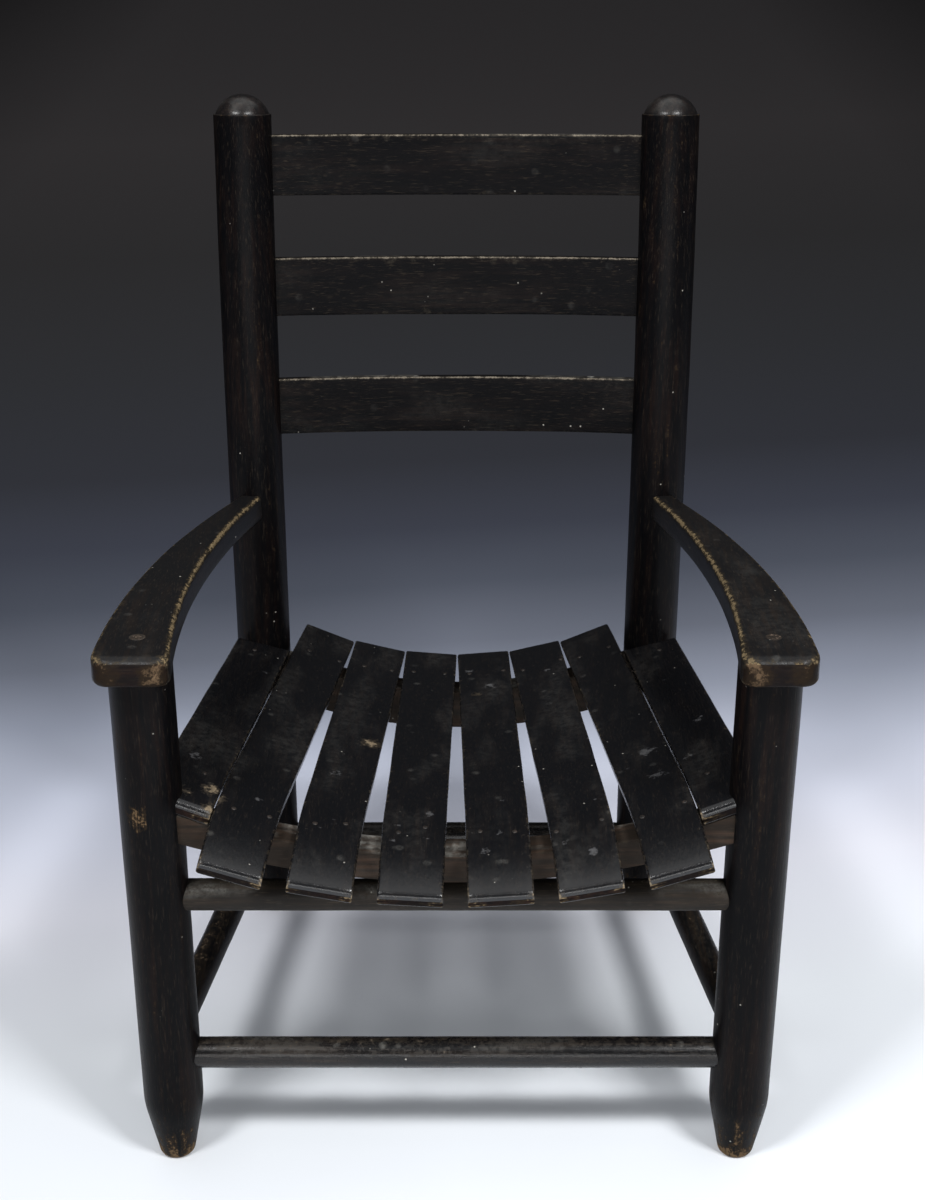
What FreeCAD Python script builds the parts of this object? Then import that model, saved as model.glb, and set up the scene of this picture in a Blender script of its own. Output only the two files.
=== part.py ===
"""Ladder-back armchair of a child's size, with a dished seat of fanned slats.

Four round posts stand on the floor.  Two of them run up past the arms and lean
back, with three bent slats between them.  Round rungs and two sawn rails tie
the posts together, and eight seat slats lie on the rails.  The model is in
millimetres with +Z up and the front of the seat towards -Y.
"""
import math
import os

import FreeCAD
import Part

Vec = FreeCAD.Vector

# posts
post_diameter = 38.0
front_post_spacing = 363.4      # between the two front axes
rear_post_spacing = 282.7       # between the two rear axes
post_depth = 280.8              # from the front axes back to the rear ones
rear_post_height = 607.5        # floor to the shoulder under the dome
bend_height = 329.6             # floor to where the rear posts start to lean back
bend_radius = 1900.0
foot_height = 42.0              # height of the tapered foot
foot_end_diameter = 22.0
foot_chamfer = 2.6
foot_shoulder_radius = 70.0
dome_diameter = 35.0
dome_neck = 1.0
dome_height = 12.4

# rungs and stretchers, each a turned rod with a round tenon at each end
rung_diameter = 19.6
tenon_diameter = 11.0
tenon_depth = 13.0
front_rung_height = 197.2
front_stretcher_height = 77.7
rear_stretcher_height = 62.9
side_stretcher_front_height = 87.0
side_stretcher_rear_height = 79.0
side_rung_lift = 28.8           # of the side rungs' front ends above the front rung
joint_clearance = 0.1

# sawn seat rails, curved to the dish of the seat
front_rail_thickness = 20.0
front_rail_depth = 19.0
front_dish_radius = 495.0
rail_gap = 5.0                  # between the middle of the front rail and its rung
rear_rail_thickness = 22.0
rear_rail_depth = 30.0
rear_dish_radius = 305.0
rear_rail_drop = 34.5           # below the front rail, at the middle of both top edges
rear_rail_forward = 8.0         # its middle, in front of the rear axes
rail_tenon_depth = 10.0
rail_tenon_shoulder = 3.0       # above and below the tenon
rail_tenon_thickness = 10.0

# seat slats
slat_width = 38.4
slat_thickness = 9.4
inner_slat_pairs = 3
rear_gap = 3.5                  # between the inner slats over the rear rail
front_gap = 12.8                # the same over the front rail
side_gap = 1.4                  # beside each outer slat
nose_overhang = 56.0            # in front of the front axes
nose_bend_radius = 253.0
nose_edge_radius = 3.4          # along the top of each slat's front end
rear_overhang = 36.5            # behind the rear axes
side_slat_rear_tilt = 13.0      # degrees
seat_clearance = 0.2

# bent back slats
back_slat_height = 39.8
back_slat_thickness = 6.6
back_slat_bow = 9.0
back_slat_mortise = 14.0
top_slat_drop = 32.5            # its middle, below the shoulder of the posts
upper_slat_spacing = 80.8
lower_slat_spacing = 83.6

# arms
arm_thickness = 18.4
arm_underside = 354.6           # at the front axes
arm_slope = 4.6                 # degrees down towards the back
arm_overhang = 37.0             # in front of the front axes
arm_front_width = 45.4
arm_rear_width = 14.2           # where it runs into the round of the rear post
arm_front_shift = 0.2           # the middle of its front end, inwards of the front axis
arm_outer_bow = 16.8            # of its outer edge, outwards of a straight line
arm_inner_bow = 15.1            # of its inner edge
arm_corner_radius = 8.0
arm_edge_radius = 4.2
arm_tenon_diameter = 9.0
arm_tenon_shift = 3.0           # outwards of the rear axis
arm_tenon_depth = 12.0
dowel_diameter = 9.6
dowel_depth = 25.0              # into the front post
dowel_forward = 3.0             # in front of the front axes

post_radius = post_diameter / 2
half_front = front_post_spacing / 2
half_rear = rear_post_spacing / 2
side_rung_front_height = front_rung_height + side_rung_lift
front_rail_top = front_rung_height + rung_diameter / 2 + rail_gap + front_rail_depth
rear_rail_top = front_rail_top - rear_rail_drop
top_slat_level = rear_post_height - top_slat_drop
middle_slat_level = top_slat_level - upper_slat_spacing
bottom_slat_level = middle_slat_level - lower_slat_spacing


def rounded_outline(corners):
    """Closed wire through (point, radius) corners, turned with an arc where there is one."""
    arcs = []
    for number, (point, radius) in enumerate(corners):
        before = (corners[number - 1][0] - point).normalize()
        after = (corners[(number + 1) % len(corners)][0] - point).normalize()
        half_angle = before.getAngle(after) / 2
        reach = radius / math.tan(half_angle)
        middle = (before + after).normalize() * (radius / math.sin(half_angle) - radius)
        arcs.append((point + before * reach, point + middle, point + after * reach, radius))
    edges = []
    for number, (start, middle, end, radius) in enumerate(arcs):
        if radius > 0:
            edges.append(Part.Arc(start, middle, end).toShape())
        following = arcs[(number + 1) % len(arcs)][0]
        edges.append(Part.LineSegment(end, following).toShape())
    return Part.Wire(edges)


def front_axis(side):
    """Foot of a front post's axis; side is -1 on the left and 1 on the right."""
    return Vec(side * half_front, 0, 0)


def rear_axis(side):
    """Foot of a rear post's axis."""
    return Vec(side * half_rear, post_depth, 0)


def turned_leg(foot, height):
    """Round post with its tapered foot, standing at foot."""
    corners = [
        (Vec(0, 0, 0), 0),
        (Vec(foot_end_diameter / 2 - foot_chamfer, 0, 0), 0),
        (Vec(foot_end_diameter / 2, 0, foot_chamfer), 0),
        (Vec(post_radius, 0, foot_height), foot_shoulder_radius),
        (Vec(post_radius, 0, height), 0),
        (Vec(0, 0, height), 0),
    ]
    leg = Part.Face(rounded_outline(corners)).revolve(Vec(), Vec(0, 0, 1), 360)
    leg.translate(foot)
    return leg


def lean_angle(level):
    """Lean of the rear posts in degrees, at a level above the floor."""
    return math.degrees(math.asin(max(0, level - bend_height) / bend_radius))


def lean_place(level, angle):
    """Placement of a level part at the rear axes, turned to their lean."""
    back = bend_radius * (1 - math.cos(math.radians(angle)))
    turn = FreeCAD.Rotation(Vec(1, 0, 0), -angle)
    return FreeCAD.Placement(Vec(0, post_depth + back, level), turn)


def leaning_part(foot, radius):
    """Upper length of a rear post, bent backwards along an arc."""
    ring = Part.Circle(foot + Vec(0, 0, bend_height), Vec(0, 0, 1), radius).toShape()
    centre = foot + Vec(0, bend_radius, bend_height)
    disc = Part.Face(Part.Wire(ring))
    return disc.revolve(centre, Vec(1, 0, 0), -lean_angle(rear_post_height))


def dome(side):
    """Turned dome on the end of a rear post."""
    radius = dome_diameter / 2
    ball = (radius ** 2 + dome_height ** 2) / (2 * dome_height)
    half_turn = math.asin(min(1, radius / ball)) / 2
    top = dome_neck + dome_height
    middle = Vec(ball * math.sin(half_turn), 0, top - ball * (1 - math.cos(half_turn)))
    edges = [
        Part.makeLine(Vec(0, 0, 0), Vec(radius, 0, 0)),
        Part.makeLine(Vec(radius, 0, 0), Vec(radius, 0, dome_neck)),
        Part.Arc(Vec(radius, 0, dome_neck), middle, Vec(0, 0, top)).toShape(),
        Part.makeLine(Vec(0, 0, top), Vec(0, 0, 0)),
    ]
    cap = Part.Face(Part.Wire(edges)).revolve(Vec(), Vec(0, 0, 1), 360)
    cap.translate(Vec(side * half_rear, 0, 0))
    cap.Placement = lean_place(rear_post_height, lean_angle(rear_post_height)) * cap.Placement
    return cap


def front_room(side):
    """Space that a front post takes from what meets it."""
    radius = post_radius + joint_clearance
    return Part.makeCylinder(radius, arm_underside + arm_thickness / 2, front_axis(side))


def rear_room(side):
    """Space that a rear post takes from what meets it."""
    radius = post_radius + joint_clearance
    lower = Part.makeCylinder(radius, bend_height, rear_axis(side))
    return lower.fuse(leaning_part(rear_axis(side), radius))


def rung_core(start, end, growth):
    """Rod through both tenons of a rung, from inside one post to inside the next."""
    along = (end - start).normalize()
    inset = post_radius - tenon_depth - growth
    length = (end - start).Length - 2 * inset
    return Part.makeCylinder(tenon_diameter / 2 + growth, length, start + along * inset, along)


def rung(start, end, rooms):
    """Turned rod between two post axes, shouldered on the posts, with its tenons."""
    along = end - start
    body = Part.makeCylinder(rung_diameter / 2, along.Length, start, along)
    return body.cut(rooms).fuse(rung_core(start, end, 0)).removeSplitter()


def rung_lines():
    """Name of each rung with the points on the post axes that it joins."""
    front_ends = (front_axis(-1), front_axis(1))
    rear_ends = (rear_axis(-1), rear_axis(1))
    lines = {
        "front_seat_rung": raised(front_ends, front_rung_height, front_rung_height),
        "front_stretcher": raised(front_ends, front_stretcher_height, front_stretcher_height),
        "rear_stretcher": raised(rear_ends, rear_stretcher_height, rear_stretcher_height),
    }
    for side, word in ((-1, "left"), (1, "right")):
        ends = (front_axis(side), rear_axis(side))
        lines["side_seat_rung_" + word] = raised(
            ends, side_rung_front_height, side_rung_rear_height())
        lines["side_stretcher_" + word] = raised(
            ends, side_stretcher_front_height, side_stretcher_rear_height)
    return lines


def raised(ends, start_level, end_level):
    """Two points on the floor lifted to their levels."""
    return ends[0] + Vec(0, 0, start_level), ends[1] + Vec(0, 0, end_level)


def dished_board(radius, depth, reach, thickness, fall):
    """Board with a hollow curved top and a matching underside, from -Y face to +Y."""
    points = []
    for ring in (radius, radius + depth):
        low = Vec(0, 0, radius - ring)
        side = Vec(reach, 0, radius - math.sqrt(ring ** 2 - reach ** 2))
        points.append((Vec(-side.x, 0, side.z), low, side))
    (top_left, top_low, top_right), (left, low, right) = points
    edges = [
        Part.Arc(top_left, top_low, top_right).toShape(),
        Part.makeLine(top_right, right),
        Part.Arc(right, low, left).toShape(),
        Part.makeLine(left, top_left),
    ]
    drop = Vec(0, thickness, -thickness * fall)
    board = Part.Face(Part.Wire(edges)).extrude(drop)
    board.translate(drop * -0.5)
    return board


def rail_sizes(name):
    """Dish radius, depth, half span, thickness, fall and middle point of a rail."""
    if name == "front_seat_rail":
        middle = Vec(0, 0, front_rail_top)
        return front_dish_radius, front_rail_depth, half_front, front_rail_thickness, 0, middle
    middle = Vec(0, post_depth - rear_rail_forward, rear_rail_top)
    sizes = (rear_dish_radius, rear_rail_depth, half_rear, rear_rail_thickness)
    return sizes + (seat_fall(), middle)


def rail_tenons(name, growth):
    """Board that forms both tenons of a rail, inside its thickness and depth."""
    radius, depth, half_span, thickness, fall, middle = rail_sizes(name)
    inset = rail_tenon_shoulder - growth
    reach = half_span - post_radius + rail_tenon_depth + growth
    slim = min(thickness, rail_tenon_thickness) + 2 * growth
    board = dished_board(radius + inset, depth - 2 * inset, reach, slim, fall)
    board.translate(middle - Vec(0, 0, inset))
    return board


def rail(name, rooms):
    """Sawn rail fitted to the round of its two posts."""
    radius, depth, half_span, thickness, fall, middle = rail_sizes(name)
    forward = (half_span == half_rear) * rear_rail_forward
    reach = half_span - math.sqrt(post_radius ** 2 - forward ** 2)
    board = dished_board(radius, depth, reach, thickness, fall)
    board.translate(middle)
    fitted = board.cut(rooms)
    return fitted.fuse(rail_tenons(name, 0)).removeSplitter()


def seat_fall():
    """Fall of the seat for each millimetre back, so that the slats lie on both rails."""
    back = post_depth - rear_rail_forward
    drop = front_rail_top - rear_rail_top
    return (back - math.sqrt(back ** 2 - 2 * nose_bend_radius * drop)) / nose_bend_radius


def seat_level(back):
    """Underside of the seat over the middle line, highest over the front rail."""
    bend_end = min(back, nose_bend_radius * seat_fall())
    level = front_rail_top - bend_end ** 2 / (2 * nose_bend_radius)
    return level - seat_fall() * (back - bend_end)


def between(front_value, rear_value, back):
    """Value at a distance behind the front axes, going straight from rail to rail."""
    share = back / (post_depth - rear_rail_forward)
    return front_value + share * (rear_value - front_value)


def inner_slat_frame(place, back):
    """Middle of an inner slat's underside and the direction across it.

    place is 0.5, 1.5 and so on outwards from the middle of the seat.
    """
    radius = between(front_dish_radius, rear_dish_radius, max(0, back))
    pitch = between(slat_width + front_gap, slat_width + rear_gap, back)
    angle = place * pitch / radius
    lift = slat_width ** 2 / (8 * abs(radius)) + seat_clearance
    x = (radius - lift) * math.sin(angle)
    z = seat_level(back) + radius - (radius - lift) * math.cos(angle)
    return Vec(x, back, z), Vec(math.cos(angle), 0, math.sin(angle))


def side_slat_frame(back):
    """The same for the outer slat on the right, which lies against its neighbour."""
    place = inner_slat_pairs - 0.5
    neighbour, across = inner_slat_frame(place, back)
    reach = place * (slat_width + front_gap) + slat_width + side_gap
    front_tilt = reach / front_dish_radius
    tilt = between(front_tilt, math.radians(side_slat_rear_tilt), max(0, back))
    outwards = Vec(math.cos(tilt), 0, math.sin(tilt))
    inner_edge = neighbour + across * (slat_width / 2 + side_gap)
    return inner_edge + outwards * (slat_width / 2), outwards


def bent_slat(frame, front_end, rear_end):
    """Slat lofted along the places that frame gives from its nose to its rear end."""
    bend = nose_bend_radius * seat_fall()
    stations = [front_end + step * (bend - front_end) / 4 for step in range(5)]
    stations += [bend + step * (rear_end - bend) / 4 for step in range(1, 5)]
    start = frame(front_end)[0]
    plan = (frame(rear_end)[0] - start)
    plan.z = 0
    plan.normalize()
    wires = []
    for back in stations:
        middle, across = frame(back)
        ahead = (frame(back + 1)[0] - frame(back - 1)[0]).normalize()
        square = Vec(plan.y * across.x, -plan.x * across.x, across.z).normalize()
        up = square.cross(ahead).normalize()
        half = square * (slat_width / 2)
        top = up * slat_thickness
        corners = [middle - half, middle + half, middle + half + top, middle - half + top]
        wires.append(Part.makePolygon(corners + corners[:1]))
    slat = Part.makeLoft(wires, True, False)
    nose = [edge for edge in slat.Edges if edge.BoundBox.YMax < front_end + slat_thickness
            and edge.Length > slat_width / 2]
    upper = max(nose, key=lambda edge: edge.CenterOfMass.z)
    return slat.makeFillet(nose_edge_radius, [upper])


def seat_slat(side, place):
    """Inner seat slat, at a place outwards from the middle on one side."""
    slat = bent_slat(lambda back: inner_slat_frame(place, back), -nose_overhang,
                     post_depth + rear_overhang)
    return mirrored(slat, side)


def side_seat_slat(side, rooms):
    """Outer seat slat, notched round the front post and butted on the rear post."""
    slat = bent_slat(side_slat_frame, -front_rail_thickness / 2,
                     post_depth - post_radius - seat_clearance)
    return mirrored(slat, side).cut(rooms)


def side_rung_rear_height():
    """Level at the rear axes that lets a side rung carry the rear end of its outer slat."""
    back = post_depth - post_radius - rung_diameter / 2
    middle, outwards = side_slat_frame(back)
    share = back / post_depth
    rung_x = half_front + share * (half_rear - half_front)
    slope = outwards.z / outwards.x
    under = middle.z + slope * (rung_x - middle.x)
    level = under - (rung_diameter / 2 + seat_clearance) / outwards.x
    return side_rung_front_height + (level - side_rung_front_height) / share


def mirrored(shape, side):
    """Right-hand shape, or its reflection on the left."""
    if side > 0:
        return shape
    return shape.mirror(Vec(), Vec(1, 0, 0))


def back_slat(level, growth):
    """Back slat bent on an arc, between and into the rear posts."""
    bend = (half_rear ** 2 + back_slat_bow ** 2) / (2 * back_slat_bow)
    half_thickness = back_slat_thickness / 2 + growth
    angle = math.asin((half_rear - post_radius + back_slat_mortise + growth) / bend)
    centre = Vec(0, back_slat_bow - bend, 0)
    ends = []
    for radius in (bend - half_thickness, bend + half_thickness):
        right = centre + Vec(radius * math.sin(angle), radius * math.cos(angle), 0)
        left = Vec(-right.x, right.y, 0)
        ends.append((left, centre + Vec(0, radius, 0), right))
    inner, outer = ends
    edges = [
        Part.Arc(*inner).toShape(),
        Part.makeLine(inner[2], outer[2]),
        Part.Arc(outer[2], outer[1], outer[0]).toShape(),
        Part.makeLine(outer[0], inner[0]),
    ]
    height = back_slat_height + 2 * growth
    slat = Part.Face(Part.Wire(edges)).extrude(Vec(0, 0, height))
    slat.translate(Vec(0, 0, -height / 2))
    slat.Placement = lean_place(level, lean_angle(level)) * slat.Placement
    return slat


def arm_turn(shape):
    """Tip a level arm about the front axes to its slope."""
    shape.rotate(Vec(0, 0, arm_underside), Vec(1, 0, 0), -arm_slope)
    return shape


def arm_room():
    """Space from the underside of the arms upwards."""
    width = 2 * (half_front + arm_front_width)
    room = Part.makeBox(width, 2 * post_depth, 2 * arm_thickness)
    room.translate(Vec(-width / 2, -post_depth, arm_underside - joint_clearance))
    return arm_turn(room)


def arm_tenon(growth):
    """Round tenon from the rear end of the right arm into its rear post."""
    entry = post_depth - post_radius
    start = entry - arm_tenon_diameter
    length = arm_tenon_diameter + arm_tenon_depth + growth
    middle = Vec(half_rear + arm_tenon_shift, start, arm_underside + arm_thickness / 2)
    radius = arm_tenon_diameter / 2 + growth
    return arm_turn(Part.makeCylinder(radius, length, middle, Vec(0, 1, 0)))


def dowel(growth):
    """Dowel through the right arm, square to it, into the top of its front post."""
    length = dowel_depth + arm_thickness + 2 * growth
    foot = Vec(half_front, -dowel_forward, arm_underside - dowel_depth - growth)
    return arm_turn(Part.makeCylinder(dowel_diameter / 2 + growth, length, foot))


def arm_edge(direction, bow):
    """Curved edge of the right arm in plan: direction is 1 outside and -1 inside."""
    front = Vec(half_front - arm_front_shift + direction * arm_front_width / 2, -arm_overhang, 0)
    rear = Vec(half_rear + direction * arm_rear_width / 2, post_depth - post_radius / 2, 0)
    along = (rear - front).normalize()
    middle = (front + rear) * 0.5 + Vec(-along.y, along.x, 0) * -bow
    return Part.Arc(front, middle, rear).toShape(), front, rear


def arm(side, room):
    """Sawn arm, wide over the front post and narrow where it meets the rear post."""
    outer, outer_front, outer_rear = arm_edge(1, arm_outer_bow)
    inner, inner_front, inner_rear = arm_edge(-1, arm_inner_bow)
    wire = Part.Wire([outer, Part.makeLine(outer_rear, inner_rear), inner,
                      Part.makeLine(inner_front, outer_front)])
    board = Part.Face(wire).extrude(Vec(0, 0, arm_thickness))
    upright = [edge for edge in board.Edges
               if edge.BoundBox.ZLength > 1 and edge.BoundBox.YMax < -arm_overhang + 1]
    board = board.makeFillet(arm_corner_radius, upright)
    rims = [edge for edge in board.Edges
            if edge.BoundBox.ZMin > arm_thickness - 1 and edge.BoundBox.YMin < post_depth / 2]
    board = board.makeFillet(arm_edge_radius, rims)
    board.translate(Vec(0, 0, arm_underside))
    board = mirrored(arm_turn(board), side).cut(room)
    board = board.fuse(mirrored(arm_tenon(0), side))
    return board.cut(mirrored(dowel(joint_clearance), side))


def front_post(side, cores, rail_core):
    """Front post, bored for its rungs, rail and dowel, its top cut to the arm."""
    post = turned_leg(front_axis(side), arm_underside + arm_thickness / 2)
    hollows = cores + [rail_core, arm_room(), mirrored(dowel(joint_clearance), side)]
    return post.cut(hollows)


def rear_post(side, cores, rail_core, slat_cores):
    """Rear post with its lean and its dome, mortised for rungs, rail, slats and arm."""
    post = turned_leg(rear_axis(side), bend_height)
    upper = leaning_part(rear_axis(side), post_radius)
    post = post.fuse([upper, dome(side)]).removeSplitter()
    hollows = cores + slat_cores + [rail_core, mirrored(arm_tenon(joint_clearance), side)]
    return post.cut(hollows)


def build():
    """Every piece of the chair by its name."""
    front_rooms = [front_room(-1), front_room(1)]
    rear_rooms = [rear_room(-1), rear_room(1)]
    rooms = front_rooms + rear_rooms
    pieces = {}
    cores = []
    for name, (start, end) in rung_lines().items():
        pieces[name] = rung(start, end, rooms)
        cores.append(rung_core(start, end, joint_clearance))
    for name in ("front_seat_rail", "rear_seat_rail"):
        pieces[name] = rail(name, rooms)
    front_core = rail_tenons("front_seat_rail", joint_clearance)
    rear_core = rail_tenons("rear_seat_rail", joint_clearance)
    levels = {"top": top_slat_level, "middle": middle_slat_level, "bottom": bottom_slat_level}
    slat_cores = []
    for word, level in levels.items():
        pieces["back_slat_" + word] = back_slat(level, 0)
        slat_cores.append(back_slat(level, joint_clearance))
    for side, word in ((-1, "left"), (1, "right")):
        pieces["front_post_" + word] = front_post(side, cores, front_core)
        pieces["rear_post_" + word] = rear_post(side, cores, rear_core, slat_cores)
        pieces["arm_" + word] = arm(side, rear_rooms)
        pieces["arm_dowel_" + word] = mirrored(dowel(0), side)
        pieces["seat_slat_%s_outer" % word] = side_seat_slat(side, rooms)
        for pair in range(inner_slat_pairs):
            name = "seat_slat_%s_%d" % (word, pair + 1)
            pieces[name] = seat_slat(side, pair + 0.5)
    return pieces


def main():
    pieces = build()
    box = Part.makeCompound(list(pieces.values())).optimalBoundingBox(False)
    to_origin = Vec(-(box.XMin + box.XMax) / 2, -(box.YMin + box.YMax) / 2, -box.ZMin)
    os.makedirs("parts", exist_ok=True)
    for name, shape in pieces.items():
        shape.translate(to_origin)
        shape.exportStep("parts/%s.step" % name)
        print("%-24s solids %d  valid %s  %.1f cm3" % (
            name, len(shape.Solids), shape.isValid(), shape.Volume / 1000))


main()
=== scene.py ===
import math
import bpy
from mathutils import Matrix, Vector, noise


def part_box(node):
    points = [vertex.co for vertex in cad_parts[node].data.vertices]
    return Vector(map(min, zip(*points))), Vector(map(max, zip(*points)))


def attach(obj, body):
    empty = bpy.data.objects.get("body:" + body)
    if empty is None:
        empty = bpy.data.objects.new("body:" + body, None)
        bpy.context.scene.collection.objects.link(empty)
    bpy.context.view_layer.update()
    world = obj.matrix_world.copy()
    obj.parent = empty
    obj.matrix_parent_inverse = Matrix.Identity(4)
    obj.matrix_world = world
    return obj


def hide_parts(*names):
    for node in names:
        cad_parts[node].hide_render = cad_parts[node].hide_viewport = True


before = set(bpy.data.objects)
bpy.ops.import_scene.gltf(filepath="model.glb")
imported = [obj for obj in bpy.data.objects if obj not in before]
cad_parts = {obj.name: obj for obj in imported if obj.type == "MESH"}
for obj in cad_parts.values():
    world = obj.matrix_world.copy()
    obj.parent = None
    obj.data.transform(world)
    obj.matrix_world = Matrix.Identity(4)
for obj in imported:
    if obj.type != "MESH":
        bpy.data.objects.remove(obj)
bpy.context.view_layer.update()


# Posts: four turned posts of 38 mm hardwood under old black paint.  The feet are turned to a
# taper and rubbed brown at the floor, and the rear posts are steamed to a backward lean and end
# in a low dome above a small step.
post_radius = 0.019
front_low, front_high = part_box("front_post_right")
front_y = (front_low.y + front_high.y) / 2
half_front = (front_low.x + front_high.x) / 2
rear_low, rear_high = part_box("rear_post_right")
half_rear = (rear_low.x + rear_high.x) / 2
rear_y = rear_low.y + post_radius
post_depth = rear_y - front_y
bend_height = 0.3296
bend_radius = 1.9
shoulder_height = 0.6075
foot_height = 0.042
foot_radius = 0.011
dome_radius = 0.0175
dome_neck = 0.001
dome_height = 0.0124


def skin(name, rings, worn, side=1, seed=0.0, sway=0.00012, marks_on=()):
    """A closed piece through rings of points, with how worn each point is (0 to 1).

    marks_on holds (point, radius, strength, kind) of bare and pale patches.
    """
    points, wear = [], []
    for ring, marks in zip(rings, worn):
        for point, mark in zip(ring, marks):
            place = Vector((side * point.x, point.y, point.z))
            spot = place * 22 + Vector((seed, 2 * seed, 3 * seed))
            wander = Vector([noise.noise(spot + Vector((shift, 0, 0)))
                             for shift in (0.0, 31.7, 63.3)])
            points.append(place + wander * sway)
            wear.append(mark)
    count = len(rings[0])
    faces = []
    for row in range(len(rings) - 1):
        for step in range(count):
            beside = (step + 1) % count
            quad = [row * count + step, row * count + beside,
                    (row + 1) * count + beside, (row + 1) * count + step]
            faces.append(quad if side > 0 else quad[::-1])
    for row, turn in ((0, -side), (len(rings) - 1, side)):
        ring_points = points[row * count:(row + 1) * count]
        points.append(sum(ring_points, Vector()) / count)
        wear.append(min(worn[row]))
        middle = len(points) - 1
        for step in range(count):
            edge = [row * count + step, row * count + (step + 1) % count, middle]
            faces.append(edge if turn > 0 else edge[::-1])
    mesh = bpy.data.meshes.new(name)
    mesh.from_pydata([tuple(point) for point in points], [], faces)
    mesh.polygons.foreach_set("use_smooth", [True] * len(faces))
    pale = [0.0] * len(points)
    for centre, radius, strength, kind in marks_on:
        for number, point in enumerate(points):
            near = strength * max(0.0, 1 - (point - centre).length / radius)
            if kind == "pale":
                pale[number] = max(pale[number], near)
            else:
                wear[number] = max(wear[number], near)
    mesh.attributes.new("wear", "FLOAT", "POINT").data.foreach_set("value", wear)
    mesh.attributes.new("pale", "FLOAT", "POINT").data.foreach_set("value", pale)
    mesh.update()
    piece = bpy.data.objects.new(name, mesh)
    bpy.context.collection.objects.link(piece)
    return piece


def fitted(piece, node, paint=None):
    """Put a piece in its node's place, in its paint."""
    if paint:
        piece.data.materials.append(paint)
    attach(piece, "root")
    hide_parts(node)


def node_maker(material):
    """Adds nodes to a material and joins their sockets."""
    tree = material.node_tree

    def make(kind, inputs=None, **settings):
        node = tree.nodes.new(kind)
        for key, value in settings.items():
            setattr(node, key, value)
        for key, value in (inputs or {}).items():
            if isinstance(value, bpy.types.NodeSocket):
                tree.links.new(value, node.inputs[key])
            else:
                node.inputs[key].default_value = value
        return node
    return make


def ramp(make, value, stops):
    """Value through a ramp of (place, grey) stops."""
    node = make("ShaderNodeValToRGB", {"Fac": value})
    band = node.color_ramp
    while len(band.elements) < len(stops):
        band.elements.new(0.5)
    for element, (place, grey) in zip(band.elements, stops):
        element.position = place
        element.color = (grey, grey, grey, 1)
    return node.outputs["Color"]


def blend(make, amount, first, second):
    """Colour going from first to second as amount goes from 0 to 1."""
    node = make("ShaderNodeMix", data_type="RGBA")
    tree = node.id_data
    for socket, value in ((node.inputs[0], amount), (node.inputs[6], first),
                          (node.inputs[7], second)):
        if isinstance(value, bpy.types.NodeSocket):
            tree.links.new(value, socket)
        elif isinstance(value, (int, float)):
            socket.default_value = value
        else:
            socket.default_value = (*value, 1)
    return node.outputs[2]


def sums(make, kind, first, second):
    """Sum, product or other result of two numbers."""
    return make("ShaderNodeMath", {0: first, 1: second}, operation=kind).outputs[0]


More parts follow.
